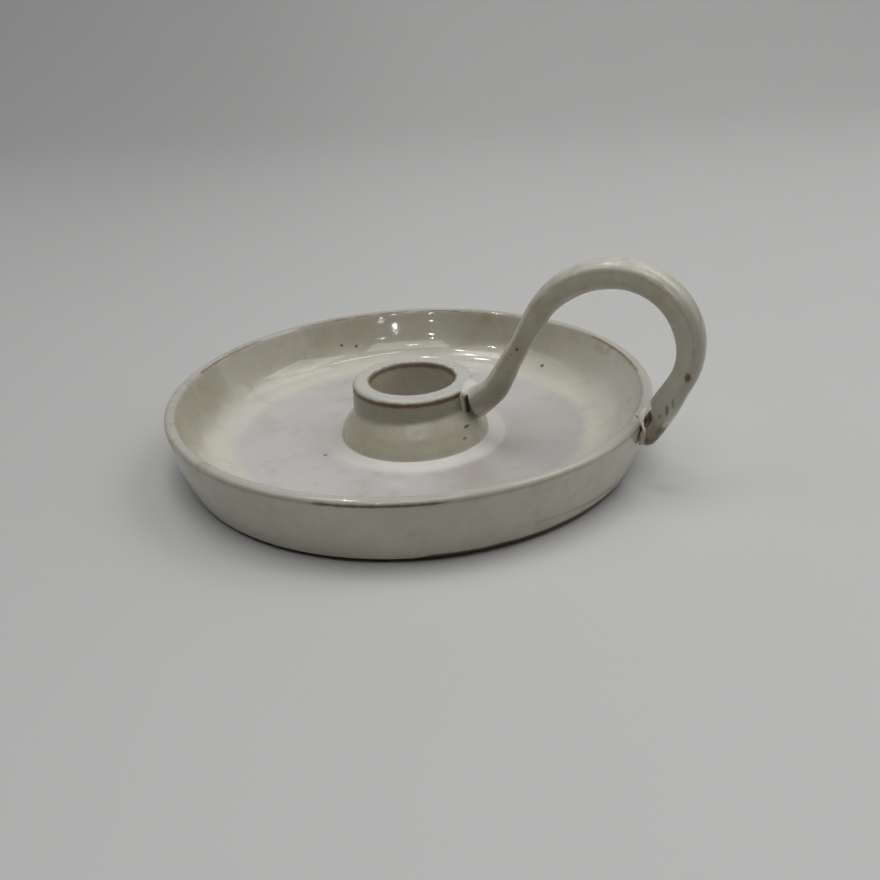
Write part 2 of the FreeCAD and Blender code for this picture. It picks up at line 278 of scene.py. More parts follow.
class GlazeWorkshop:
    """Shared effects of a poured glaze, each built once as a shader group."""

    def __init__(self) -> None:
        """Build every group."""
        self.depth = self._depth()
        self.blush = self._blush()
        self.edge_break = self._edge_break()
        self.specks = self._specks()
        self.skin = self._skin()
        self.rings = self._rings()
        self.spot = self._spot()
        self.halo = self._halo()

    def _depth(self) -> bpy.types.NodeTree:
        """Colour of the glaze by its depth: thin on walls, creamy in coves, milky where it pools.

        Returns:
            The group.
        """
        graph = SharedEffect("glaze_depth", ("Depth", "Mottle"), colours=("Thin", "Cream", "Milk"),
                             masks=(), shades=("Color",))
        take = graph.take
        runs = graph.vectors("MULTIPLY", take["Vector"], (1.0, 1.0, 0.6))
        broad = graph.cloud(take["Vector"], 0.045, 3.0, 0.55)
        fine = graph.cloud(runs, 0.30, 5.0, 0.72)
        shift = (broad * 0.62 + fine * 0.38 - 0.5) * take["Mottle"]
        depth = graph.maths("ADD", take["Depth"], shift, clamp=True)
        low = graph.blend(graph.maths("MULTIPLY", depth, 2.0, clamp=True), take["Thin"], take["Cream"])
        pooled = graph.maths("SUBTRACT", depth * 2.0, 1.0, clamp=True)
        return graph.give(Color=graph.blend(pooled, low, take["Milk"]))

    def _blush(self) -> bpy.types.NodeTree:
        """Warm patches where iron from the clay has bled into the glaze.

        Returns:
            The group.
        """
        graph = SharedEffect("iron_blush", ("Spread", "Share"))
        take = graph.take
        patch = graph.cloud(graph.scale(take["Vector"], 1.0 / take["Spread"]), 1.0, 3.0, 0.6)
        low = 0.72 - take["Share"] * 0.4
        return graph.give(Mask=graph.ease(patch, low, low + 0.24))

    def _edge_break(self) -> bpy.types.NodeTree:
        """Ragged line where the glaze runs off a sharp edge and the clay shows through.

        Returns:
            The group.
        """
        graph = SharedEffect("edge_break", ("Distance", "Reach", "Ragged", "Gaps"))
        take = graph.take
        wander = graph.cloud(take["Vector"], 0.42, 3.0, 0.6) - 0.5
        core = graph.ease(take["Distance"] + wander * take["Ragged"], take["Reach"], take["Reach"] * 0.35)
        run = graph.cloud(take["Vector"], 0.085)
        return graph.give(Mask=core * graph.ease(run, take["Gaps"] - 0.07, take["Gaps"] + 0.07))

    def _specks(self) -> bpy.types.NodeTree:
        """Small iron specks that bled through the glaze.

        Returns:
            The group.
        """
        graph = SharedEffect("iron_specks", ("Spacing", "Size", "Share"))
        take = graph.take
        cells = graph.cells(take["Vector"], 1.0 / take["Spacing"])
        chance = graph.work("ShaderNodeSeparateColor", {0: cells["Color"]})
        reach = take["Size"] * (0.45 + chance["Green"])
        dot = graph.ease(cells["Distance"] * take["Spacing"], reach, reach * 0.35)
        return graph.give(Mask=dot * graph.maths("LESS_THAN", chance["Red"], take["Share"]))

    def _skin(self) -> bpy.types.NodeTree:
        """Faint unevenness of fired glaze: slow waves, orange peel and a few pinholes.

        Returns:
            The group.
        """
        graph = SharedEffect("glaze_skin", ("Waves", "Peel"), masks=("Height", "Sheen"))
        take = graph.take
        waves = graph.cloud(take["Vector"], 0.11, 2.0, 0.45) * take["Waves"]
        peel = graph.cloud(take["Vector"], 0.75) * take["Peel"]
        pit = graph.ease(graph.cells(take["Vector"], 0.26)["Distance"], 0.075, 0.02)
        sheen = graph.cloud(take["Vector"], 0.16, 3.0, 0.6)
        return graph.give(Height=waves + peel - pit * 0.015, Sheen=sheen)

    def _rings(self) -> bpy.types.NodeTree:
        """Soft throwing rings that follow a radius or a height.

        Returns:
            The group.
        """
        graph = SharedEffect("throwing_rings", ("Along", "Pitch"), masks=("Height",))
        take = graph.take
        sway = graph.cloud(take["Vector"], 0.03) * 7.0
        wave = graph.maths("SINE", take["Along"] / take["Pitch"] * math.tau + sway)
        return graph.give(Height=wave * graph.cloud(take["Vector"], 0.06, 1.0))

    def _spot(self) -> bpy.types.NodeTree:
        """One ragged spot at a given place, such as a pit, a burnt iron spot, a bare patch, or painted shade in
        a crevice.

        Returns:
            The group.
        """
        graph = SharedEffect("placed_spot", ("Ragged",), vectors=("Centre", "Reach"))
        take = graph.take
        offset = graph.vectors("SUBTRACT", take["Vector"], take["Centre"])
        away = graph.length(graph.vectors("DIVIDE", offset, take["Reach"]))
        wander = graph.cloud(take["Vector"], 0.9, 3.0, 0.6) - 0.5
        return graph.give(Mask=graph.ease(away + wander * take["Ragged"], 1.0, 0.55))

    def _halo(self) -> bpy.types.NodeTree:
        """Pale ring of gathered glaze round the collar's foot, shared by dish and fillet.

        Returns:
            The group.
        """
        graph = SharedEffect("foot_halo", ("Offset",), masks=("Mask", "Radius"))
        take = graph.take
        x, y, _ = graph.split(take["Vector"])
        radius = graph.reach(x - take["Offset"], y)
        wander = (graph.cloud(take["Vector"], 0.12) - 0.5) * 3.0
        return graph.give(Mask=graph.ease(radius + wander, 28.2, 23.6), Radius=radius)


@dataclass(frozen=True)
class GlazeTones:
    """Colours of one batch of glaze over brown clay, and the tones that also paint shade."""

    thin: Colour = tone(176, 172, 153)
    # Grey tone that paints shade: it darkens the dish's back and left walls, its floor on the loop's side, the
    # collar's band and bore, and the loop's right limb and root.
    painted_shade: Colour = tone(146, 143, 127)
    cream: Colour = tone(214, 211, 196)
    milk: Colour = tone(201, 200, 198)
    white: Colour = tone(229, 229, 224)
    blush: Colour = tone(155, 138, 119)
    rose: Colour = tone(186, 170, 158)
    clay: Colour = tone(101, 80, 56)
    # This tone also paints the shade in the rim smear's crevice.
    iron: Colour = tone(80, 60, 43)
    # Dark tone of real pits and spots, which also paints shade in the pad's crevice, on the loop's cut end and
    # root, and a little over the dish's lip.
    soot_and_shade: Colour = tone(60, 55, 43)


TONES = GlazeTones()


@dataclass(frozen=True)
class GlazeGloss:
    """How a fired glaze and bare clay take the light."""

    glaze: float = 0.045
    uneven: float = 0.06
    bare: float = 0.72
    relief: float = 0.35
    ior: float = 1.52


@dataclass(frozen=True)
class PlacedSpot:
    """One spot set on the piece, a mark in the glaze or painted shade in the pad's crevice: its middle, its
    reach along each axis, its colour and how it shows.
    """

    centre: Place
    reach: Place
    colour: Colour = TONES.soot_and_shade
    strength: float = 0.7
    ragged: float = 0.4
    depth: float = 0.1


@dataclass
class GlazeCoat:
    """A material under construction: its coordinates, colour, bare share and relief."""

    name: str
    shop: GlazeWorkshop
    tones: GlazeTones
    gloss: GlazeGloss
    graph: Graph = field(init=False)

    def __post_init__(self) -> None:
        """Start the material and read where each point lies, in millimetres."""
        self.material = bpy.data.materials.new(self.name)
        self.material.use_nodes = True
        self.material.node_tree.nodes.clear()
        self.graph = Graph(self.material.node_tree)
        where = self.graph.work("ShaderNodeTexCoord", {})["Object"]
        self.point = self.graph.scale(where, 1 / MM)
        self.x, self.y, self.z = self.graph.split(self.point)
        self.radius = self.graph.reach(self.x, self.y)
        self.colour: object = self.tones.thin
        self.bare: object = 0.0
        self.height: object = 0.0

    def read(self, mark: Mark) -> Value:
        """Read one of the values that the mesh carries."""
        return self.graph.work("ShaderNodeAttribute", {}, attribute_name=mark.value)["Fac"]

    def effect(self, tree: bpy.types.NodeTree, **values: object) -> dict[object, Value]:
        """Place a shared effect on the piece."""
        return self.graph.place(tree, Vector=self.point, **values)

    def pour(self, depth: object, mottle: float) -> None:
        """Lay the glaze at the given depth, with a mottle that drifts through it."""
        colours = {"Thin": self.tones.thin, "Cream": self.tones.cream, "Milk": self.tones.milk}
        self.colour = self.effect(self.shop.depth, Depth=depth, Mottle=mottle, **colours)["Color"]

    def tint(self, mask: Value, colour: Colour, strength: object = 1.0) -> None:
        """Lay a colour over what is there, where the mask says."""
        self.colour = self.graph.blend(mask * strength, self.colour, colour)

    def flush(self, colour: Colour, strength: object, spread: float, share: float) -> None:
        """Let iron bleed into the glaze in patches of a given spread over a share of the piece."""
        patches = self.effect(self.shop.blush, Spread=spread, Share=share)
        self.tint(patches["Mask"], colour, strength)

    def bearing(self) -> Value:
        """Bearing of each point in degrees, counter-clockwise from the loop's side."""
        return self.graph.maths("DEGREES", self.graph.maths("ARCTAN2", self.y, self.x))

    def sector(self, start: float, end: float, fade: float = 4.0) -> Value:
        """Mask of a stretch of the round piece.

        Args:
            start: Bearing where it starts.
            end: Bearing where it ends, counter-clockwise.
            fade: Degrees over which it fades at both ends.

        Returns:
            The mask.
        """
        middle, half = (start + end) / 2, (end - start) / 2
        turned = self.graph.maths("FLOORED_MODULO", self.bearing() - (middle - 180), 360.0)
        return self.graph.ease(abs(turned - 180.0), half + fade / 2, half - fade / 2)

    def sectors(self, stretches: tuple[tuple[float, float], ...]) -> Value:
        """Mask of several stretches together.

        Args:
            stretches: Bearings where each one starts and ends.

        Returns:
            The mask.
        """
        mask = self.sector(*stretches[0])
        for stretch in stretches[1:]:
            mask = self.graph.maths("MAXIMUM", mask, self.sector(*stretch))
        return mask

    def wear(self, distance: Value, colour: Colour, strength: object, reach: float, ragged: float,
             gaps: float) -> None:
        """Let the clay show along an edge.

        Args:
            distance: Millimetres from the edge.
            colour: Colour of the line.
            strength: How much of it shows.
            reach: How far the line spreads.
            ragged: How far its border wanders.
            gaps: Share of the edge that stays covered.
        """
        line = self.effect(self.shop.edge_break, Distance=distance, Reach=reach, Ragged=ragged, Gaps=gaps)
        self.tint(line["Mask"], colour, strength)

    def mark(self, *marks: PlacedSpot) -> None:
        """Set marks on the piece, each over the one before, and sink those that have a depth.

        Args:
            marks: The marks.
        """
        for mark in marks:
            spot = self.effect(self.shop.spot, Centre=mark.centre, Reach=mark.reach, Ragged=mark.ragged)
            self.tint(spot["Mask"], mark.colour, mark.strength)
            if mark.depth:
                self.lift(spot["Mask"], -mark.depth)

    def gather_and_glare(self, mask: Value) -> None:
        """Let pale glaze pool round the collar's foot, creamy all round, with a painted white reflection that
        is whitest in front.
        """
        self.tint(mask, self.tones.cream, 0.5)
        # Painted reflection: the white glare on the front of the ring.
        self.tint(mask * self.sector(-125.0, 0.0, 50.0), self.tones.white, 0.8)

    def speckle(self, strength: float, spacing: float, size: float, share: float) -> None:
        """Scatter iron specks of a given spacing and size over a share of their places."""
        specks = self.effect(self.shop.specks, Spacing=spacing, Size=size, Share=share)
        self.tint(specks["Mask"], self.tones.iron, strength)

    def throw(self, along: Value, pitch: float, amount: object) -> None:
        """Leave the soft rings of the wheel, by their distance apart and their height."""
        self.lift(self.effect(self.shop.rings, Along=along, Pitch=pitch)["Height"], amount)

    def lift(self, height: Value, amount: object) -> None:
        """Add to the relief."""
        self.height = self.height + height * amount

    def between(self, value: Value, start: float, full: float, fade: float, end: float) -> Value:
        """Band that rises from start to full and falls from fade to end."""
        return self.graph.ease(value, start, full) * self.graph.ease(value, end, fade)

    def fire(self, waves: float, peel: float) -> bpy.types.Material:
        """Finish the material: skin, gloss, relief and shader.

        Args:
            waves: Height of the slow waves in the glaze.
            peel: Height of the orange peel.

        Returns:
            The finished material.
        """
        graph, gloss = self.graph, self.gloss
        skin = self.effect(self.shop.skin, Waves=waves, Peel=peel)
        glazed = gloss.glaze + skin["Sheen"] * gloss.uneven
        bump = graph.add("ShaderNodeBump")
        bump.inputs["Strength"].default_value = gloss.relief
        bump.inputs["Distance"].default_value = MM
        graph.feed(bump.inputs["Height"], self.height + skin["Height"])
        shader = graph.add("ShaderNodeBsdfPrincipled")
        shader.inputs["IOR"].default_value = gloss.ior
        graph.feed(shader.inputs["Base Color"], self.colour)
        graph.feed(shader.inputs["Roughness"], glazed * (1.0 - self.bare) + self.bare * gloss.bare)
        graph.feed(shader.inputs["Normal"], bump.outputs["Normal"])
        graph.feed(graph.add("ShaderNodeOutputMaterial").inputs["Surface"], shader.outputs[0])
        return self.material


# Meshes


@dataclass(frozen=True)
class Stroke:
    """One stretch of a profile or a centre line: a run, a bend to the left or right, or a kink."""

    length: float = 0.0
    radius: float = 0.0
    turn: float = 0.0


def ahead(heading: float) -> Vector:
    """Unit step along a heading in the upright XZ plane, in radians."""
    return Vector((math.cos(heading), 0, math.sin(heading)))


def leftward(heading: float) -> Vector:
    """Unit step to the left of a heading in the same plane."""
    return Vector((-math.sin(heading), 0, math.cos(heading)))


class ProfilePen:
    """Draws an open profile in the upright XZ plane with mesh operators, in millimetres."""

    def __init__(self, start: tuple[float, float], grain: float) -> None:
        """Set the pen down, heading outwards.

        Args:
            start: Radius and height of the first point.
            grain: Longest step along a run.
        """
        self.mesh = bmesh.new()
        self.layer = self.mesh.verts.layers.float.new(Mark.WALK.value)
        self.tip = self.mesh.verts.new((start[0], 0, start[1]))
        self.heading = 0.0
        self.grain = grain
        self.walked = 0.0

    def step(self, matrix: Matrix, length: float) -> None:
        """Extrude the last point and carry the new one by a transform.

        Args:
            matrix: The transform.
            length: How far it carries the point.
        """
        self.tip = bmesh.ops.extrude_vert_indiv(self.mesh, verts=[self.tip])["verts"][0]
        bmesh.ops.transform(self.mesh, matrix=matrix, verts=[self.tip])
        self.walked += length
        self.tip[self.layer] = self.walked

    def draw(self, strokes: tuple[Stroke, ...]) -> bmesh.types.BMesh:
        """Draw every stroke in turn.

        Args:
            strokes: The stretches of the profile.

        Returns:
            The profile as a wire.
        """
        for stroke in strokes:
            if stroke.length:
                count = max(1, math.ceil(stroke.length / self.grain))
                way = ahead(self.heading) * (stroke.length / count)
                for _ in range(count):
                    self.step(Matrix.Translation(way), way.length)
            elif stroke.radius:
                self.bend(stroke)
            else:
                self.heading += math.radians(stroke.turn)
        return self.mesh

    def bend(self, stroke: Stroke) -> None:
        """Walk along an arc in short steps.

        Args:
            stroke: The bend.
        """
        turn = math.radians(stroke.turn)
        centre = self.tip.co + leftward(self.heading) * stroke.radius * math.copysign(1.0, turn)
        arc = abs(turn) * stroke.radius
        count = max(2, math.ceil(abs(stroke.turn) / ARC_STEP), math.ceil(arc / self.grain))
        swing = Matrix.Rotation(-turn / count, 4, "Y")
        move = Matrix.Translation(centre) @ swing @ Matrix.Translation(-centre)
        for _ in range(count):
            self.step(move, arc / count)
        self.heading += turn


def turn_on_wheel(profile: bmesh.types.BMesh, steps: int, axis_x: float = 0.0, ring: bool = False) -> None:
    """Spin a profile a full turn about an upright axis.

    Args:
        profile: The wire, which becomes the turned skin.
        steps: Steps of the turn.
        axis_x: Where the axis stands.
        ring: Close the profile first, for a body with a bore.
    """
    if ring:
        profile.verts.ensure_lookup_table()
        bmesh.ops.contextual_create(profile, geom=[profile.verts[0], profile.verts[-1]])
    bmesh.ops.spin(
        profile, geom=profile.verts[:] + profile.edges[:], cent=(axis_x, 0, 0), axis=(0, 0, 1),
        angle=math.tau, steps=steps, use_merge=True)
    bmesh.ops.remove_doubles(profile, verts=profile.verts[:], dist=1e-4)
    bmesh.ops.recalc_face_normals(profile, faces=profile.faces[:])


def press_softly(mesh: bmesh.types.BMesh, reach: float, depth: float, seed: float) -> None:
    """Sink the skin here and there, as fingers leave it; it never rises.

    Args:
        mesh: The piece.
        reach: Distance from one hollow to the next.
        depth: How deep the hollows are.
        seed: Which pattern of hollows.
    """
    mesh.normal_update()
    for vert in mesh.verts:
        place = vert.co / reach + Vector((seed, seed, seed))
        share = 0.5 + 0.5 * noise.noise(place)
        vert.co -= vert.normal * depth * min(max(share, 0.0), 1.0)


def carry_on(mesh: bmesh.types.BMesh, edges: list, move: Matrix) -> tuple[list, list, list]:
    """Extrude a ring of edges and carry the new ring by a transform.

    Args:
        mesh: The piece.
        edges: The ring that is extruded.
        move: The transform.

    Returns:
        The corners and edges of the new ring, and the faces up to it.
    """
    grown = bmesh.ops.extrude_edge_only(mesh, edges=edges)["geom"]
    kinds = (bmesh.types.BMVert, bmesh.types.BMEdge, bmesh.types.BMFace)
    ring, edges, faces = ([part for part in grown if isinstance(part, kind)] for kind in kinds)
    bmesh.ops.transform(mesh, matrix=move, verts=ring)
    return ring, edges, faces


def draw_out(mesh: bmesh.types.BMesh, stops: tuple, side: Place = (0, 1, 0), around: int = 32) -> None:
    """Draw a tongue, web or roll of soft clay through a few stops and close both its ends.

    Args:
        mesh: The piece that it belongs to.
        stops: Place, half breadth and half thickness at each stop.
        side: Way that the breadth lies.
        around: Corners of the section.
    """
    frames = []
    for index, (place, breadth, thick) in enumerate(stops):
        after = Vector(stops[min(index + 1, len(stops) - 1)][0])
        along = (after - Vector(stops[max(index - 1, 0)][0])).normalized()
        out = Vector(side).cross(along).normalized()
        turned = Matrix((out, along.cross(out), along)).transposed().to_4x4()
        frames.append(Matrix.Translation(place) @ turned @ Matrix.Diagonal((thick, breadth, 1, 1)))
    ring = bmesh.ops.create_circle(mesh, segments=around, radius=1.0)["verts"]
    edges = list({edge for vert in ring for edge in vert.link_edges})
    faces = bmesh.ops.contextual_create(mesh, geom=edges)["faces"]
    bmesh.ops.transform(mesh, matrix=frames[0], verts=ring)
    for last, here in zip(frames, frames[1:]):
        _, edges, sides = carry_on(mesh, edges, here @ last.inverted())
        faces += sides
    faces += bmesh.ops.contextual_create(mesh, geom=edges)["faces"]
    bmesh.ops.recalc_face_normals(mesh, faces=faces)


def finish_piece(mesh: bmesh.types.BMesh, name: str, node: str,
                 material: bpy.types.Material) -> bpy.types.Object:
    """Bring a piece to metres and put it in the scene, on the frame's one body.

    Args:
        mesh: The finished mesh, in millimetres.
        name: Name of the piece.
        node: Frame node that it stands for.
        material: Its finish.

    Returns:
        The new object.
    """
    for edge in mesh.edges:
        edge.smooth = edge.calc_face_angle(0.0) < math.radians(SHARP_EDGE)
    piece = link_mesh(mesh, name, material)
    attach(piece, "root")
    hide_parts(node)
    LOG.info("%s: %d faces, stands for %s", name, len(piece.data.polygons), node)
    return piece


def link_mesh(mesh: bmesh.types.BMesh, name: str, material: bpy.types.Material) -> bpy.types.Object:
    """Turn a mesh in millimetres into an object of the scene.

    Args:
        mesh: The mesh, which is used up.
        name: Name of the object.
        material: Its finish.

    Returns:
        The object, at the origin.
    """
    for face in mesh.faces:
        face.smooth = True
    bmesh.ops.scale(mesh, vec=(MM, MM, MM), verts=mesh.verts[:])
    data = bpy.data.meshes.new(name)
    mesh.to_mesh(data)
    mesh.free()
    data.materials.append(material)
    made = bpy.data.objects.new(name, data)
    bpy.context.scene.collection.objects.link(made)
    return made


@dataclass
class GlazedPiece:
    """What every piece brings to the kiln: the shared effects, its tones and its gloss."""

    shop: GlazeWorkshop
    tones: GlazeTones = TONES
    gloss: GlazeGloss = GlazeGloss()

    def coat(self, name: str) -> GlazeCoat:
        """Start the piece's own glaze."""
        return GlazeCoat(name, self.shop, self.tones, self.gloss)


# Thrown pieces


@dataclass
class Saucer(GlazedPiece):
    """The thrown dish: flat foot, flaring wall, rounded lip and coved well.

    A field that ends in walk gives places along the profile, from the middle of the foot over the lip
    to the middle of the floor. Sectors are bearings from the loop's side, with the fade of their ends.
    """

    steps: int = 256
    grain: float = 1.4
    strokes: tuple[Stroke, ...] = (
        Stroke(length=60.76),
        Stroke(radius=0.5, turn=31.329),
        Stroke(length=2.361),
        Stroke(radius=0.6, turn=35.465),
        Stroke(radius=62.0, turn=15.872),
        Stroke(radius=1.15, turn=102.021),
        Stroke(length=1.046),
        Stroke(radius=0.95, turn=65.103),
        Stroke(radius=60.0, turn=-7.891),
        Stroke(radius=12.0, turn=-61.898),
        Stroke(length=50.73),
    )
    sway: float = 0.07
    swings: tuple = ((0.6, 2, 0.7), (0.4, 5, 2.1))
    dips: tuple = ((0.5, 3, 1.2), (0.5, 7, 0.4))
    wall_foot: float = 2.0
    wall_rise: float = 17.5
    steady_within: float = 50.0
    foot_edge: float = 62.6
    lip_outside: float = 81.0
    lip_inside: float = 84.6
    lip_walk: tuple = (81.0, 82.4, 84.4, 86.0)
    inside_walk: tuple = (84.0, 86.0)
    under_lip_walk: tuple = (84.0, 85.0, 87.0, 92.0)
    floor_radii: tuple = (52.6, 47.5)
    cove_radii: tuple = (62.0, 57.0)
    wall_radii: tuple = (55.0, 61.0)
    bare_sector: tuple = (-62.0, -4.0, 12.0)
    bare_rise: float = 1.65
    trim_sector: tuple = (-36.0, -3.0, 8.0)
    trim_radii: tuple = (52.0, 54.0)
    trim_edge: tuple = (-0.5, -0.05, 0.1, 1.3)
    trim_height: float = 5.6
    trim_slope: float = 0.075
    trim_from: float = -33.0
    worn_outside: tuple = ((-81.0, -56.0), (-165.0, -125.0), (22.0, 40.0))
    worn_inside: tuple = ((84.0, 152.0), (28.0, 56.0), (165.0, 200.0))
    pits: tuple[PlacedSpot, ...] = (
        PlacedSpot((-46.8, 39.8, 11.3), (0.75, 0.75, 0.7)),
        PlacedSpot((-42.9, 43.0, 10.3), (0.75, 0.75, 0.7)),
        PlacedSpot((19.8, 54.1, 7.0), (0.8, 0.8, 0.8), strength=0.8),
        PlacedSpot((-15.4, -22.6, 4.9), (0.7, 0.7, 0.6)),
    )

    def build(self) -> bpy.types.Object:
        """Throw, dent and glaze the dish.

        Returns:
            The dish.
        """
        mesh = ProfilePen((0.0, 0.0), self.grain).draw(self.strokes)
        turn_on_wheel(mesh, self.steps)
        for vert in mesh.verts:
            self.unsteady(vert)
        return finish_piece(mesh, "thrown_dish", "saucer", self.glaze())

    def unsteady(self, vert: bmesh.types.BMVert) -> None:
        """Shift one point as an unsteady hand does: nothing at the foot, most at the lip.

        Args:
            vert: The point.
        """
        reach = math.hypot(vert.co.x, vert.co.y)
        if reach < self.steady_within:
            return
        angle = math.atan2(vert.co.y, vert.co.x)
        rise = max(vert.co.z - self.wall_foot, 0.0) / self.wall_rise
        swing, dip = (
            sum(size * math.sin(times * angle + phase) for size, times, phase in waves)
            for waves in (self.swings, self.dips))
        scale = 1 + self.sway * rise * (swing - 0.2) / reach
        vert.co.x *= scale
        vert.co.y *= scale
        vert.co.z += self.sway * rise * rise * dip

    def glaze(self) -> bpy.types.Material:
        """Glaze the dish and leave its foot bare.

        Returns:
            The dish's finish.
        """
        coat = self.coat("dish_glaze")
        graph, tones = coat.graph, self.tones
        walk = coat.read(Mark.WALK)
        inside = graph.ease(walk, *self.inside_walk)
        ragged = coat.radius + (graph.cloud(coat.point, 0.07) - 0.5) * 5.0
        cove = graph.ease(ragged, *self.cove_radii) * inside
        floor = graph.ease(ragged, *self.floor_radii) * inside
        wall = graph.ease(ragged, *self.wall_radii) * inside
        coat.pour(0.16 + cove * 0.40 + floor * 0.42, mottle=0.85)
        # Painted light and shade on the inner wall and floor: cream and white lighten the wall on the loop's
        # side, and a grey tone darkens the back and left walls and the floor on the loop's side.
        coat.tint(wall * coat.sector(-60.0, 62.0, 50.0), tones.cream, 0.8)
        coat.tint(wall * coat.sector(70.0, 215.0, 50.0), tones.painted_shade, 0.4)
        coat.tint(floor * coat.sector(-50.0, 50.0, 40.0), tones.painted_shade, 0.25)
        coat.tint(wall * coat.sector(-35.0, 40.0, 35.0), tones.white, 0.6)
        coat.tint(graph.ease(walk, self.lip_outside, self.lip_outside - 1.5), tones.cream, 0.2)
        coat.flush(tones.rose, floor * 0.4, spread=20.0, share=0.55)
        coat.flush(tones.blush, coat.between(walk, *self.under_lip_walk) * 0.55, spread=9.0, share=0.5)
        coat.flush(tones.blush, 0.22, spread=7.0, share=0.5)
        # Pale glaze pools round the collar's foot, with a painted white glare in front.
        coat.gather_and_glare(coat.effect(self.shop.halo, Offset=COLLAR_AXIS)["Mask"] * inside)
        self.glaze_lip(coat, walk)
        coat.speckle(0.75, spacing=7.5, size=0.34, share=0.10)
        coat.mark(*self.pits)
        self.trim_line(coat)
        border = graph.cloud(coat.point, 0.16, 3.0, 0.6) + coat.sector(*self.bare_sector) * self.bare_rise
        coat.bare = graph.ease(walk, self.foot_edge + border, self.foot_edge - 0.5 + border)
        coat.tint(coat.bare, tones.clay)
        coat.throw(walk, pitch=4.6, amount=0.05)
        return coat.fire(waves=0.09, peel=0.02)

    def glaze_lip(self, coat: GlazeCoat, walk: Value) -> None:
        """Thin the glaze on the lip and let the clay show along its two edges, most where it is worn.

        Args:
            coat: The dish's glaze.
            walk: Distance along the dish's profile.
        """
        tones = self.tones
        lip = coat.between(walk, *self.lip_walk)
        coat.tint(lip, tones.milk, 0.4)
        # Painted shade: a little of the dark tone dims the lip's top.
        coat.tint(lip, tones.soot_and_shade, 0.06)
        coat.flush(tones.blush, lip * (coat.sector(140.0, 250.0, 30.0) * 0.6), spread=8.0, share=0.6)
        outer, inner = coat.sectors(self.worn_outside), coat.sectors(self.worn_inside)
        line = abs(walk - self.lip_outside)
        coat.wear(line, tones.blush, 0.25 + outer * 0.5, reach=0.8, ragged=1.0, gaps=0.38)
        coat.wear(line, tones.clay, 0.12 + outer * 0.8, reach=0.42, ragged=0.5, gaps=0.24)
        line = abs(walk - self.lip_inside)
        coat.wear(line, tones.blush, 0.2 + inner * 0.6, reach=0.6, ragged=0.8, gaps=0.40)
        coat.wear(line, tones.clay, inner * 0.35, reach=0.3, ragged=0.4, gaps=0.44)

    def trim_line(self, coat: GlazeCoat) -> None:
        """Leave the shallow slanted edge where the trimming tool ran off the outer wall.

        Args:
            coat: The dish's glaze.
        """
        above = coat.z - (self.trim_height - (coat.bearing() - self.trim_from) * self.trim_slope)
        stretch = coat.sector(*self.trim_sector) * coat.graph.ease(coat.radius, *self.trim_radii)
        coat.tint(coat.between(above, *self.trim_edge) * stretch, self.tones.blush, 0.3)
        coat.lift(coat.graph.ease(above, -0.4, 0.2) * stretch, 0.35)


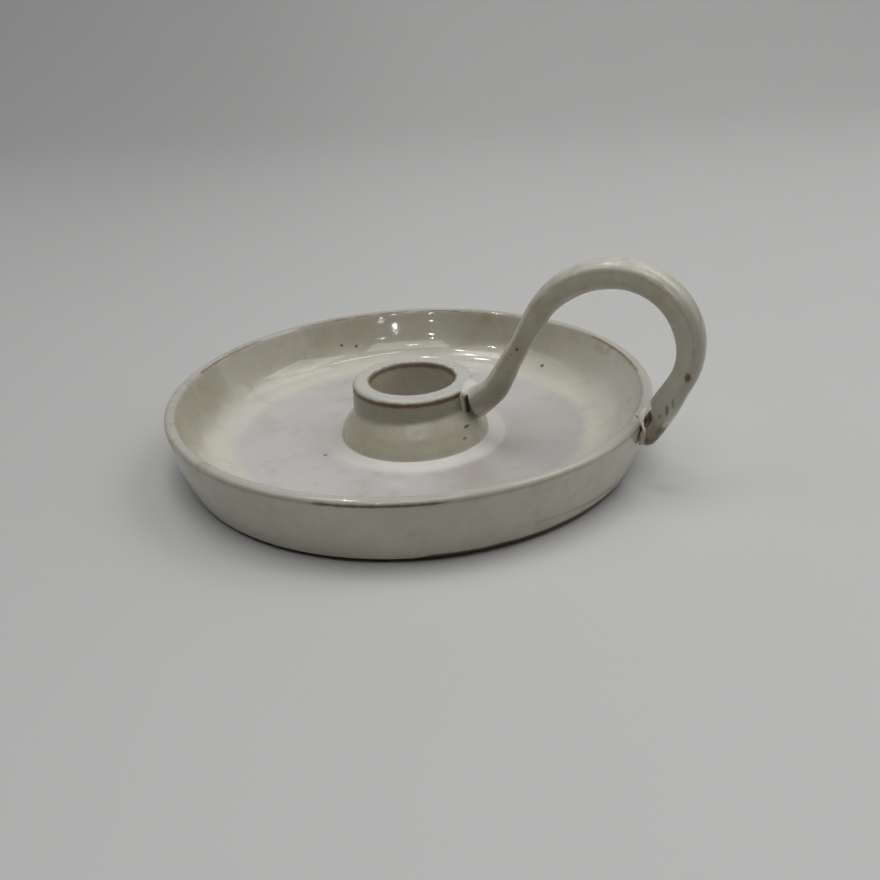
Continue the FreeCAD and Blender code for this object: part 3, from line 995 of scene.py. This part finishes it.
@dataclass
class CandleSocket(GlazedPiece):
    """The thrown collar: swelling skirt, finger groove, upright band and open bore."""

    gloss: GlazeGloss = GlazeGloss(glaze=0.20, uneven=0.15)
    steps: int = 160
    grain: float = 0.7
    bore: float = 12.0
    wall: float = 3.0
    strokes: tuple[Stroke, ...] = (
        Stroke(length=9.2),
        Stroke(turn=90.0),
        Stroke(length=0.736),
        Stroke(radius=0.8, turn=9.255),
        Stroke(radius=15.0, turn=32.498),
        Stroke(radius=2.2, turn=-39.522),
        Stroke(length=5.586),
        Stroke(radius=1.35, turn=87.769),
        Stroke(length=2.552),
        Stroke(radius=0.9, turn=90.0),
        Stroke(length=15.8),
    )
    arris: float = 25.5
    mouth: float = 31.1
    band_walk: tuple = (18.6, 20.6)
    white_foot: tuple = (6.4, 5.3)
    shaded_bore: tuple = (19.0, 14.0)
    ringed_below: tuple = (21.0, 19.5)
    groove_foot: float = 6.0
    groove_rise: float = 13.8
    groove_tilt: float = 1.3
    groove_high_at: float = -20.0
    pits: tuple[PlacedSpot, ...] = (
        PlacedSpot((20.1, -5.2, 11.5), (2.1, 1.5, 0.5), TONES.soot_and_shade, 0.8, 0.8, 0.2),
        PlacedSpot((20.4, -7.2, 8.9), (1.2, 1.0, 0.6), TONES.soot_and_shade, 0.55, 0.8),
    )

    def build(self) -> bpy.types.Object:
        """Throw the collar and glaze it.

        Returns:
            The collar.
        """
        mesh = ProfilePen((COLLAR_AXIS + self.bore, FLOOR_TOP), self.grain).draw(self.strokes)
        turn_on_wheel(mesh, self.steps, COLLAR_AXIS)
        for vert in mesh.verts:
            self.tilt_groove(vert)
        return finish_piece(mesh, "thrown_collar", "candle_socket", self.glaze())

    def tilt_groove(self, vert: bmesh.types.BMVert) -> None:
        """Let the finger groove wander, as a finger does: higher towards the loop, lower behind.

        Args:
            vert: One point of the collar.
        """
        across = vert.co.x - COLLAR_AXIS
        if math.hypot(across, vert.co.y) < self.bore + self.wall:
            return
        share = min(max((vert.co.z - self.groove_foot) / self.groove_rise, 0.0), 1.0)
        bearing = math.atan2(vert.co.y, across) - math.radians(self.groove_high_at)
        vert.co.z += self.groove_tilt * math.sin(math.pi * share) ** 2 * math.cos(bearing)

    def glaze(self) -> bpy.types.Material:
        """Glaze the collar, with clay showing on the edges of its rim.

        Returns:
            The collar's finish.
        """
        coat = self.coat("collar_glaze")
        graph, tones, arris, mouth = coat.graph, self.tones, self.arris, self.mouth
        walk = coat.read(Mark.WALK)
        rim = coat.between(walk, arris + 0.1, arris + 0.9, mouth - 0.5, mouth + 0.2)
        band = coat.between(walk, *self.band_walk, arris - 0.6, arris)
        coat.pour(0.10 + rim * 0.5, mottle=0.75)
        # Painted shade on the upright band under the rim.
        coat.tint(band, tones.painted_shade, 0.9)
        coat.flush(tones.blush, band * 0.3, spread=6.0, share=0.6)
        coat.flush(tones.blush, 0.18, spread=5.0, share=0.4)
        coat.tint(rim, tones.milk, 0.4)
        coat.tint(rim, tones.soot_and_shade, 0.07)
        coat.tint(graph.ease(coat.z, *self.white_foot), tones.white, 0.5)
        edge = abs(walk - arris)
        coat.wear(edge, tones.blush, 0.75, reach=1.3, ragged=0.9, gaps=0.25)
        coat.wear(edge, tones.clay, 0.9, reach=0.85, ragged=0.7, gaps=0.3)
        coat.wear(edge, tones.iron, 0.5, reach=0.4, ragged=0.5, gaps=0.4)
        coat.wear(abs(walk - (mouth + 0.5)), tones.clay, 0.75, reach=1.35, ragged=1.0, gaps=0.35)
        bore = graph.ease(walk, mouth + 0.4, mouth + 2.0)
        coat.tint(bore, tones.rose, 0.3)
        # Painted shade, darker deeper down the bore.
        coat.tint(bore * graph.ease(coat.z, *self.shaded_bore), tones.painted_shade, 0.15)
        coat.mark(*self.pits)
        coat.speckle(0.7, spacing=6.0, size=0.3, share=0.1)
        coat.throw(coat.z, pitch=3.1, amount=graph.ease(coat.z, *self.ringed_below) * 0.10)
        return coat.fire(waves=0.06, peel=0.02)


@dataclass
class LutingCoil(GlazedPiece):
    """The soft coil wiped into a low hollow fillet round the collar's foot."""

    steps: int = 160
    grain: float = 0.6
    inner: float = 21.2
    strokes: tuple[Stroke, ...] = (
        Stroke(length=4.8),
        Stroke(turn=90.0),
        Stroke(length=0.02),
        Stroke(turn=88.875),
        Stroke(radius=18.0, turn=-15.512),
    )

    def build(self) -> bpy.types.Object:
        """Wipe the coil round and glaze it.

        Returns:
            The fillet.
        """
        mesh = ProfilePen((COLLAR_AXIS + self.inner, FLOOR_TOP), self.grain).draw(self.strokes)
        turn_on_wheel(mesh, self.steps, COLLAR_AXIS, ring=True)
        return finish_piece(mesh, "wiped_fillet", "socket_lute_coil", self.glaze())

    def glaze(self) -> bpy.types.Material:
        """Glaze that gathers pale in the fillet and runs out onto the floor, with a painted white reflection in
        front.

        Returns:
            The fillet's finish.
        """
        coat = self.coat("fillet_glaze")
        coat.pour(0.95, mottle=0.5)
        halo = coat.effect(self.shop.halo, Offset=COLLAR_AXIS)
        coat.gather_and_glare(halo["Mask"])
        coat.speckle(0.6, spacing=6.0, size=0.3, share=0.06)
        coat.throw(halo["Radius"], pitch=2.6, amount=0.06)
        return coat.fire(waves=0.2, peel=0.03)


# Hand-made pieces


@dataclass(frozen=True)
class Station:
    """Where the coil's size is known, by stroke and share along it.

    Width lies in the loop's plane and breadth across it; the pinch is how far a thumb has pressed the
    inner side outwards there.
    """

    stroke: int
    share: float
    width: float
    breadth: float
    pinch: float = 0.0


@dataclass
class FingerLoop(GlazedPiece):
    """The rolled coil that springs from the collar, turns over and laps the dish's outside."""

    gloss: GlazeGloss = GlazeGloss(glaze=0.10, uneven=0.14)
    start: tuple[float, float] = (16.7, 15.0)
    slope: float = 30.8
    cut_at: float = 4.3
    cut_slant: float = -13.0
    cut_round: float = 0.5
    tip_round: float = 0.9
    around: int = 48
    grain: float = 0.9
    squareness: float = 2.35
    strokes: tuple[Stroke, ...] = (
        Stroke(length=5.9),
        Stroke(radius=18.8, turn=30.3),
        Stroke(length=21.1),
        Stroke(radius=25.2, turn=-61.1),
        Stroke(radius=17.9, turn=-117.8),
        Stroke(length=12.4),
        Stroke(radius=34.0, turn=13.0),
    )
    stations: tuple[Station, ...] = (
        Station(0, 0.0, 8.8, 7.6, -1.2),
        Station(1, 0.5, 6.8, 7.4, -0.7),
        Station(2, 0.1, 6.3, 7.2, -0.2),
        Station(2, 0.3, 5.9, 6.8),
        Station(2, 0.6, 5.5, 6.1),
        Station(3, 0.0, 6.5, 7.0),
        Station(3, 0.5, 7.6, 8.0),
        Station(4, 0.5, 7.7, 8.0),
        Station(5, 0.0, 6.6, 7.9),
        Station(5, 0.66, 7.5, 7.9),
        Station(5, 0.82, 7.5, 7.8, 1.3),
        Station(5, 0.98, 7.5, 7.6, 2.7),
        Station(6, 0.2, 7.3, 7.4, 2.7),
        Station(6, 0.5, 6.6, 6.8, 2.2),
        Station(6, 0.75, 5.5, 5.8, 1.5),
        Station(6, 1.0, 3.2, 3.8, 0.6),
    )
    crown_face: tuple = (0.2, 0.75)
    shaded_limb: tuple = (72.0, 84.0, 104.0, 112.0)
    edge_line: float = 0.42
    shaded_root_walk: tuple = (22.0, 14.0)
    shaded_root_face: tuple = (0.6, 0.0)
    heel_heights: tuple = (18.5, 16.5)
    heel_face: tuple = (0.1, -0.5)
    marks: tuple[PlacedSpot, ...] = (
        PlacedSpot((79.1, -3.9, 33.1), (1.3, 2.0, 2.1), TONES.blush, 0.6, 0.6, 0.0),
        PlacedSpot((79.1, -3.9, 33.1), (0.85, 1.5, 1.45), TONES.iron, 0.85, 0.35),
        PlacedSpot((34.5, -3.1, 35.0), (0.6, 1.2, 0.6), TONES.soot_and_shade, 0.75, 0.6),
        PlacedSpot((32.9, -3.1, 33.3), (0.5, 1.2, 0.5), TONES.soot_and_shade, 0.35, 0.6),
        PlacedSpot((31.9, -3.1, 31.9), (0.45, 1.2, 0.45), TONES.soot_and_shade, 0.4, 0.6),
        PlacedSpot((62.6, -3.1, 55.4), (0.45, 1.2, 0.45), TONES.soot_and_shade, 0.6, 0.6),
        PlacedSpot((74.5, -3.9, 23.9), (0.45, 0.9, 1.9), TONES.soot_and_shade, 0.65, 1.1, 0.2),
        PlacedSpot((75.9, -3.9, 25.9), (0.4, 0.9, 1.8), TONES.soot_and_shade, 0.45, 1.1, 0.2),
        PlacedSpot((72.8, -3.9, 21.9), (0.6, 0.9, 0.9), TONES.soot_and_shade, 0.45, 0.9),
    )
    # Brown patches on the heel's lower flank.
    brown_heel: tuple[PlacedSpot, ...] = (
        PlacedSpot((71.6, -3.0, 16.3), (4.6, 4.4, 5.6), TONES.blush, 0.5, 1.2, 0.0),
        PlacedSpot((72.6, -3.0, 15.8), (3.8, 3.8, 4.4), TONES.clay, 0.4, 1.2, 0.0),
        PlacedSpot((73.3, -3.2, 16.5), (1.9, 3.0, 2.6), TONES.iron, 0.5, 1.1),
        PlacedSpot((71.3, -3.2, 14.2), (2.6, 3.0, 1.9), TONES.iron, 0.65, 1.1),
    )

    def lengths(self) -> list[float]:
        """Length of every stroke."""
        return [s.length or s.radius * math.radians(abs(s.turn)) for s in self.strokes]

    def size_at(self, distance: float) -> tuple[float, float, float]:
        """Size of the coil at a distance along it.

        Args:
            distance: Millimetres from the start.

        Returns:
            Width in the loop's plane, breadth across it, and pinch.
        """
        lengths = self.lengths()
        places = [sum(lengths[:s.stroke]) + lengths[s.stroke] * s.share for s in self.stations]
        after = next((n for n, place in enumerate(places) if place > distance), len(places) - 1)
        before = max(after - 1, 0)
        span = places[after] - places[before]
        share = min(max((distance - places[before]) / span, 0.0), 1.0) if span else 0.0
        eased = share * share * (3 - 2 * share)
        first, last = self.stations[before], self.stations[after]
        pairs = ((first.width, last.width), (first.breadth, last.breadth), (first.pinch, last.pinch))
        return tuple(start + (end - start) * eased for start, end in pairs)

    def frame_at(self, distance: float) -> Matrix:
        """Frame of the coil's section at a distance along it, with its size.

        Args:
            distance: Millimetres from the start.

        Returns:
            A transform whose X points outwards in the loop's plane, Y across it and Z along it.
        """
        point = Vector((self.start[0], 0, self.start[1]))
        heading = math.radians(self.slope)
        left_over = distance
        for stroke, length in zip(self.strokes, self.lengths()):
            walked = min(left_over, length)
            if stroke.radius:
                radius = math.copysign(stroke.radius, stroke.turn)
                centre = point + leftward(heading) * radius
                heading += walked / radius
                point = centre - leftward(heading) * radius
            else:
                point = point + ahead(heading) * walked
            left_over -= walked
            if left_over <= 0:
                break
        width, breadth, pinch = self.size_at(distance)
        if distance <= self.cut_at:
            heading += math.radians(self.cut_slant)
        out = leftward(heading)
        turned = Matrix((out, Vector((0, 1, 0)), ahead(heading))).transposed().to_4x4()
        point += out * (pinch / 2)
        return Matrix.Translation(point) @ turned @ Matrix.Diagonal(((width - pinch) / 2, breadth / 2, 1, 1))

    def build(self) -> bpy.types.Object:
        """Roll, bend, cut and glaze the coil.

        Returns:
            The loop.
        """
        mesh = bmesh.new()
        layers = [mesh.verts.layers.float.new(mark.value) for mark in Mark]
        ring = bmesh.ops.create_circle(mesh, segments=self.around, radius=1.0)["verts"]
        for vert in ring:
            self.square_off(vert)
        length = sum(self.lengths()) - self.cut_at
        count = math.ceil(length / self.grain)
        last = self.frame_at(self.cut_at)
        bmesh.ops.transform(mesh, matrix=last, verts=ring)
        edges = mesh.edges[:]
        self.label(ring, last, self.cut_at, layers)
        cap = bmesh.ops.contextual_create(mesh, geom=edges)["faces"]
        for step in range(1, count + 1):
            distance = self.cut_at + length * step / count
            here = self.frame_at(distance)
            ring, edges, _ = carry_on(mesh, edges, here @ last.inverted())
            self.label(ring, here, distance, layers)
            last = here
        tip = bmesh.ops.contextual_create(mesh, geom=edges)["faces"]
        bmesh.ops.recalc_face_normals(mesh, faces=mesh.faces[:])
        for faces, offset in ((cap, self.cut_round), (tip, self.tip_round)):
            border = list({edge for face in faces for edge in face.edges})
            bmesh.ops.bevel(mesh, geom=border, offset=offset, segments=4, profile=0.5, affect="EDGES",
                            material=-1)
        press_softly(mesh, reach=6.5, depth=0.14, seed=3.7)
        return finish_piece(mesh, "rolled_loop", "finger_loop", self.glaze())

    def square_off(self, vert: bmesh.types.BMVert) -> None:
        """Move one point of the unit circle onto a slightly squared oval."""
        power = self.squareness
        vert.co *= (abs(vert.co.x) ** power + abs(vert.co.y) ** power) ** (-1 / power)

    def label(self, ring: list[bmesh.types.BMVert], here: Matrix, distance: float, layers: list) -> None:
        """Write on each point how far along the coil it is and how far it faces outwards.

        Args:
            ring: The points.
            here: Their frame.
            distance: Millimetres from the start.
            layers: Where the two values are written.
        """
        walk, crown = layers
        back = here.inverted()
        for vert in ring:
            vert[walk] = distance
            vert[crown] = (back @ vert.co).x

    def glaze(self) -> bpy.types.Material:
        """Glaze that is thinner along the coil's edges, with brown patches on the heel and its iron spot, and
        painted shade on the right limb, the root and the cut end.

        Returns:
            The loop's finish.
        """
        coat = self.coat("loop_glaze")
        graph, tones = coat.graph, self.tones
        walk, crown = coat.read(Mark.WALK), coat.read(Mark.CROWN)
        top = graph.ease(crown, *self.crown_face)
        coat.pour(0.08 + top * 0.38, mottle=0.9)
        # Painted shade darkens the outer face of the loop's right limb.
        coat.tint(coat.between(walk, *self.shaded_limb) * top, tones.painted_shade, 0.7)
        coat.flush(tones.blush, 0.3, spread=6.0, share=0.6)
        coat.flush(tones.rose, 0.3, spread=3.0, share=0.45)
        coat.wear(abs(crown - self.edge_line), tones.blush, 0.35, reach=0.2, ragged=0.35, gaps=0.40)
        # Painted shade on the inner side and underside of the loop's root, near the collar.
        root = graph.ease(walk, *self.shaded_root_walk) * graph.ease(crown, *self.shaded_root_face)
        coat.tint(root, tones.painted_shade, 0.6)
        coat.tint(root, tones.soot_and_shade, 0.1)
        coat.mark(*self.marks)
        heel = graph.ease(coat.z, *self.heel_heights) * graph.ease(crown, *self.heel_face)
        coat.tint(heel, tones.rose, 0.8)
        coat.mark(*self.brown_heel)
        # Painted shade on the cut end, in the crevice against the collar's pad.
        coat.tint(graph.ease(walk, self.cut_at + 0.8, self.cut_at + 0.1), tones.soot_and_shade, 0.85)
        coat.speckle(0.6, spacing=5.5, size=0.3, share=0.08)
        return coat.fire(waves=0.34, peel=0.04)


@dataclass
class CollarPad(GlazedPiece):
    """The thumb of clay that the loop's cut end is pressed on, and the glaze that runs over it."""

    thumb: tuple = (
        ((19.5, 0, 8.4), 1.0, 0.4), ((19.1, 0, 9.8), 2.0, 0.9), ((18.4, 0, 11.8), 2.6, 1.35),
        ((17.9, 0, 13.8), 2.9, 1.55), ((17.5, 0, 16.2), 3.6, 1.8), ((17.2, 0, 18.4), 4.0, 2.1),
        ((17.0, 0, 20.0), 3.8, 2.1), ((16.9, 0, 20.9), 2.8, 1.3),
    )
    tongue: tuple = (
        ((14.4, 1.6, 21.1), 3.2, 0.2), ((15.4, 1.6, 21.0), 4.6, 0.5), ((16.6, 1.5, 20.8), 4.9, 0.75),
        ((17.7, 1.2, 20.5), 4.6, 0.9), ((18.8, 0.9, 20.2), 4.0, 0.95), ((19.9, 0.7, 20.1), 3.5, 0.9),
        ((20.9, 0.6, 20.4), 2.9, 0.75), ((21.8, 0.6, 21.0), 1.9, 0.5), ((22.4, 0.6, 21.4), 0.8, 0.25),
    )
    core: tuple = (
        ((17.6, 0.9, 16.2), 2.2, 2.2), ((19.2, 0.9, 16.9), 2.4, 2.4), ((21.4, 0.9, 18.2), 1.9, 1.8),
    )
    drip: tuple = (
        ((17.9, -1.8, 20.7), 0.9, 0.9), ((18.3, -2.3, 20.2), 1.3, 1.1), ((18.7, -2.7, 19.6), 1.1, 0.9),
        ((19.0, -2.9, 18.9), 0.7, 0.6), ((19.2, -2.9, 18.2), 0.25, 0.25),
    )
    # The crevice spot is painted shade.
    crevice: PlacedSpot = PlacedSpot((19.9, -0.6, 21.0), (0.7, 1.3, 0.8), TONES.soot_and_shade, 0.85, 0.8)
    white_above: tuple = (18.0, 19.4)
    dark_face: tuple = (18.4, 19.0)
    dark_below: tuple = (20.2, 19.4)
    seam_radii: tuple = (17.3, 16.9)
    seam_below: tuple = (19.6, 18.4)

    def build(self) -> bpy.types.Object:
        """Press the thumb of clay on and let glaze bridge it to the rim.

        Returns:
            The pad.
        """
        mesh = bmesh.new()
        for stops in (self.thumb, self.core, self.tongue, self.drip):
            draw_out(mesh, stops)
        press_softly(mesh, reach=3.0, depth=0.15, seed=1.9)
        return finish_piece(mesh, "collar_pad", "socket_joint_pad", self.glaze())

    def glaze(self) -> bpy.types.Material:
        """White glaze above, painted shade in the crevice below.

        Returns:
            The pad's finish.
        """
        coat = self.coat("pad_glaze")
        graph, tones = coat.graph, self.tones
        coat.pour(0.35, mottle=0.5)
        coat.tint(graph.ease(coat.z, *self.white_above), tones.white, 0.6)
        # Painted shade on the face under the loop's cut end, in the crevice and along the seam with the collar.
        face = graph.ease(coat.x, *self.dark_face) * graph.ease(coat.z, *self.dark_below)
        coat.tint(face, tones.soot_and_shade, 0.9)
        coat.mark(self.crevice)
        radius = coat.effect(self.shop.halo, Offset=COLLAR_AXIS)["Radius"]
        seam = graph.ease(radius, *self.seam_radii) * graph.ease(coat.z, *self.seam_below)
        coat.tint(seam, tones.soot_and_shade, 0.6)
        coat.speckle(0.6, spacing=4.0, size=0.3, share=0.1)
        return coat.fire(waves=0.3, peel=0.04)


@dataclass
class RimSmear(GlazedPiece):
    """The smear of clay over the lip that holds the loop's heel, with its webs of glaze."""

    filler: tuple = (
        ((68.7, 1.0, 13.6), 1.6, 0.6), ((68.7, 1.0, 15.6), 3.0, 1.4), ((69.1, 1.0, 18.2), 3.3, 1.6),
        ((69.8, 1.1, 20.3), 3.1, 1.3), ((70.5, 1.2, 22.0), 2.4, 0.8), ((71.0, 1.2, 23.0), 1.0, 0.3),
    )
    band: tuple = (
        ((68.8, -1.2, 17.6), 1.4, 0.7), ((68.6, -1.4, 16.2), 2.2, 1.1), ((68.3, -1.2, 14.6), 2.3, 1.25),
        ((67.9, -0.8, 13.2), 1.8, 0.95), ((67.3, -0.4, 12.1), 0.9, 0.5),
    )
    webs: tuple = (
        ((1, 0, 0), (
            ((66.9, 5.4, 19.8), 0.3, 0.2), ((67.0, 3.4, 19.9), 0.6, 0.35), ((67.2, 1.4, 19.9), 0.9, 0.5),
            ((67.4, -0.6, 19.8), 1.1, 0.55), ((67.9, -1.9, 19.1), 0.8, 0.5), ((68.4, -2.8, 18.3), 0.5, 0.4),
            ((69.0, -3.4, 17.3), 0.4, 0.35), ((69.4, -3.8, 16.2), 0.25, 0.2))),
        ((0, 1, 0), (
            ((67.6, -0.6, 19.6), 0.8, 0.4), ((66.7, -0.2, 19.75), 0.7, 0.4), ((65.9, 0.2, 19.6), 0.4, 0.3),
            ((65.2, 0.5, 19.2), 0.15, 0.1))),
    )
    white_above: tuple = (18.4, 19.4)
    warm_below: tuple = (17.4, 16.4)
    web_inside: tuple = (68.5, 68.1)
    web_front: tuple = (-1.9, -2.6)
    web_back: tuple = (1.4, 2.2)

    def build(self) -> bpy.types.Object:
        """Smear the clay over the lip and glaze it.

        Returns:
            The smear.
        """
        mesh = bmesh.new()
        for stops in (self.filler, self.band):
            draw_out(mesh, stops)
        for side, stops in self.webs:
            draw_out(mesh, stops, side, 20)
        press_softly(mesh, reach=2.6, depth=0.2, seed=5.3)
        return finish_piece(mesh, "rim_smear", "rim_joint_pad", self.glaze())

    def glaze(self) -> bpy.types.Material:
        """Pale webs over painted crevice shade, with warm clay below.

        Returns:
            The smear's finish.
        """
        coat = self.coat("smear_glaze")
        graph, tones = coat.graph, self.tones
        coat.pour(0.5, mottle=0.5)
        coat.tint(graph.ease(coat.z, *self.white_above), tones.white, 0.4)
        web = graph.ease(coat.x, *self.web_inside)
        for side in (self.web_front, self.web_back):
            web = graph.maths("MAXIMUM", web, graph.ease(coat.y, *side))
        # Painted shade: everything but the webs is darkened with the iron tone, standing in for the dark
        # crevice.
        coat.tint(1.0 - web, tones.iron, 0.95)
        coat.tint(graph.ease(coat.z, *self.warm_below), tones.rose, 0.85)
        coat.speckle(0.6, spacing=4.0, size=0.3, share=0.1)
        return coat.fire(waves=0.3, peel=0.04)


# Studio


@dataclass(frozen=True)
class Panel:
    """A light: its bearing from straight ahead, its height as an angle, its two sizes and its power."""

    name: str
    bearing: float
    height: float
    wide: float
    tall: float
    power: float
    away: float = 1.25
    roll: float = 0.0


@dataclass
class Studio:
    """Pale paper sweep and soft overhead light."""

    turned: float = 27.24
    paper: Colour = tone(205, 205, 204)
    paper_left_shade: float = 0.22
    paper_rough: float = 0.75
    paper_breadth: float = 3600.0
    paper_profile: tuple[Stroke, ...] = (
        Stroke(length=1500.0),
        Stroke(radius=500.0, turn=80.0),
        Stroke(length=900.0),
    )
    room: Colour = tone(235, 238, 240)
    room_glow: float = 0.03
    panels: tuple[Panel, ...] = (
        Panel("overhead", 0.0, 90.0, 0.6, 0.6, 4.4),
        Panel("front_high", 180.0, 63.0, 0.7, 0.5, 2.5),
        Panel("right_high", 88.0, 55.0, 0.6, 0.6, 2.7),
        Panel("right_back", 45.0, 55.0, 0.5, 0.5, 0.9),
        Panel("right_low", 90.0, 27.0, 1.3, 0.9, 2.1),
        Panel("left_high", 270.0, 55.0, 0.8, 0.8, 1.75),
    )
    glints: tuple[Panel, ...] = (
        Panel("bulb_tall", 173.1, 31.2, 0.022, 0.09, 0.45),
        Panel("bulb_left", 163.6, 38.6, 0.03, 0.02, 0.2),
        Panel("bulb_left_low", 165.5, 26.0, 0.03, 0.02, 0.05),
        Panel("bulb_right", 195.0, 36.1, 0.03, 0.022, 0.25),
        Panel("bulb_right_up", 196.4, 45.0, 0.03, 0.022, 0.25),
        Panel("bulb_right_low", 194.2, 27.6, 0.03, 0.02, 0.12),
        Panel("window", 297.0, 71.0, 0.40, 0.24, 1.0),
        Panel("bulb_cove_left", 313.0, 72.0, 0.03, 0.03, 0.3),
        Panel("bulb_cove_right", 335.0, 63.5, 0.03, 0.03, 0.3),
        Panel("tube", 69.6, 79.9, 0.46, 0.03, 0.5, roll=-67.6),
        Panel("bulb_crown", 247.5, 53.9, 0.06, 0.03, 0.4),
        Panel("bulb_lip_left", 265.1, 75.1, 0.05, 0.04, 0.35),
        Panel("bulb_lip_right", 351.1, 68.8, 0.04, 0.04, 0.25),
        Panel("bulb_turn", 184.0, 62.3, 0.06, 0.03, 0.25),
    )

    def build(self) -> None:
        """Lay the paper and hang the lights."""
        self.sweep()
        self.world()
        for panel in self.panels:
            self.hang(panel).visible_glossy = panel.height < 80.0
        for panel in self.glints:
            self.hang(panel).visible_diffuse = False

    def sweep(self) -> bpy.types.Object:
        """Bend one sheet of paper from the table up the wall.

        Returns:
            The sheet.
        """
        mesh = ProfilePen((-900.0, -0.02), 60.0).draw(self.paper_profile)
        carry_on(mesh, mesh.edges[:], Matrix.Translation((0, self.paper_breadth, 0)))
        middle = Matrix.Translation((0, -self.paper_breadth / 2, 0))
        swing = Matrix.Rotation(math.radians(90 + self.turned), 4, "Z")
        bmesh.ops.transform(mesh, matrix=swing @ middle, verts=mesh.verts[:])
        return link_mesh(mesh, "paper_sweep", self.paper_finish())

    def paper_finish(self) -> bpy.types.Material:
        """Matt pale paper with a faint cloudiness, and painted shade that darkens it a little towards the left.

        Returns:
            The paper's finish.
        """
        material = bpy.data.materials.new("pale_paper")
        material.use_nodes = True
        graph = Graph(material.node_tree)
        shader = material.node_tree.nodes["Principled BSDF"]
        where = graph.work("ShaderNodeTexCoord", {})["Object"]
        duller, darker = (tuple(part * share for part in self.paper[:3]) + (1.0,) for share in (0.97, 0.5))
        pale = graph.blend(graph.cloud(where, 9.0, 4.0, 0.6), duller, self.paper)
        x, y, _ = graph.split(where)
        turn = math.radians(self.turned)
        across = x * math.cos(turn) + y * math.sin(turn)
        # Painted shade: the paper darkens towards the left.
        shade = graph.ease(across, 0.06, -0.22) * self.paper_left_shade
        graph.feed(shader.inputs["Base Color"], graph.blend(shade, pale, darker))
        shader.inputs["Roughness"].default_value = self.paper_rough
        return material

    def world(self) -> None:
        """Fill the room with a dim even light."""
        world = bpy.data.worlds.new("room")
        world.use_nodes = True
        back = world.node_tree.nodes["Background"]
        back.inputs["Color"].default_value = self.room
        back.inputs["Strength"].default_value = self.room_glow
        bpy.context.scene.world = world

    def hang(self, panel: Panel) -> bpy.types.Object:
        """Hang one light, facing the object.

        Args:
            panel: Where it hangs, how large it is and how strong.

        Returns:
            The light.
        """
        lamp = bpy.data.lights.new(panel.name, "AREA")
        lamp.shape = "RECTANGLE"
        lamp.size, lamp.size_y, lamp.energy = panel.wide, panel.tall, panel.power
        holder = bpy.data.objects.new(panel.name, lamp)
        swing, tilt = math.radians(panel.bearing - self.turned), math.radians(panel.height)
        way = Vector((math.sin(swing) * math.cos(tilt), math.cos(swing) * math.cos(tilt), math.sin(tilt)))
        holder.location = way * panel.away
        turned = (-way).to_track_quat("-Z", "Y").to_matrix() @ Matrix.Rotation(math.radians(panel.roll), 3, "Z")
        holder.rotation_euler = turned.to_euler()
        bpy.context.scene.collection.objects.link(holder)
        return holder


@dataclass(frozen=True)
class Camera:
    """The photograph's point of view."""

    station: tuple[float, float, float] = (127.09, -229.277, 127.707)
    aim: tuple[float, float, float] = (20.228, -21.695, 15.0)
    roll: float = -3.222
    lens: float = 40.909

    def build(self) -> None:
        """Set the camera up."""
        data = bpy.data.cameras.new("viewpoint")
        data.sensor_width = 36.0
        data.lens = self.lens
        data.clip_start = 0.01
        data.clip_end = 50.0
        eye = bpy.data.objects.new("viewpoint", data)
        way = Vector(self.aim) - Vector(self.station)
        turned = way.to_track_quat("-Z", "Y").to_matrix().to_4x4()
        roll = Matrix.Rotation(math.radians(self.roll), 4, "Z")
        eye.matrix_world = Matrix.Translation(Vector(self.station) * MM) @ turned @ roll
        bpy.context.scene.collection.objects.link(eye)
        bpy.context.scene.camera = eye


def main() -> None:
    """Build the chamberstick piece by piece."""
    logging.basicConfig(level=logging.INFO, format="%(message)s")
    bpy.context.scene.view_settings.view_transform = "Standard"
    Studio().build()
    Camera().build()
    shop = GlazeWorkshop()
    for maker in (Saucer, CandleSocket, LutingCoil, FingerLoop, CollarPad, RimSmear):
        maker(shop).build()


if __name__ == "__main__":
    main()
